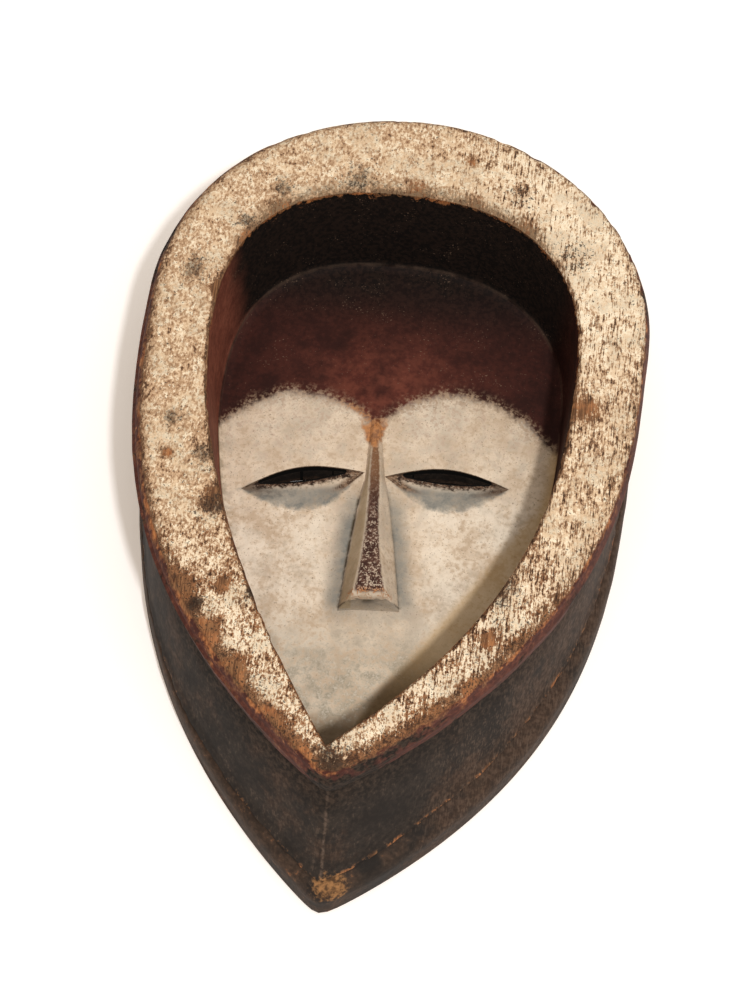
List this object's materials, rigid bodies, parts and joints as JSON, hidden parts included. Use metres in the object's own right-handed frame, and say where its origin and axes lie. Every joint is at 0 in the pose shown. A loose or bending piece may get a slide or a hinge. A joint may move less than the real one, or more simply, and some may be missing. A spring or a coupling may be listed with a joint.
{
  "type": "kwele mask",
  "caption": "carved wooden face mask, a calm heart-shaped white face with slit eyes and a wedge nose, set deep in a thick egg-shaped rim with a pointed chin",
  "frame": {"origin": "bottom centre of the mask's box, on the flat back that it lies on", "axes": "+Z is the front of the face, +Y the forehead, -Y the pointed chin, +X the right side in view"},
  "size_m": [0.244, 0.386, 0.0979],
  "materials": {
    "mask": "worn white kaolin over reddish and blackened carved wood"
  },
  "bodies": {
    "root": {"mask": "mask"}
  },
  "joints": []
}
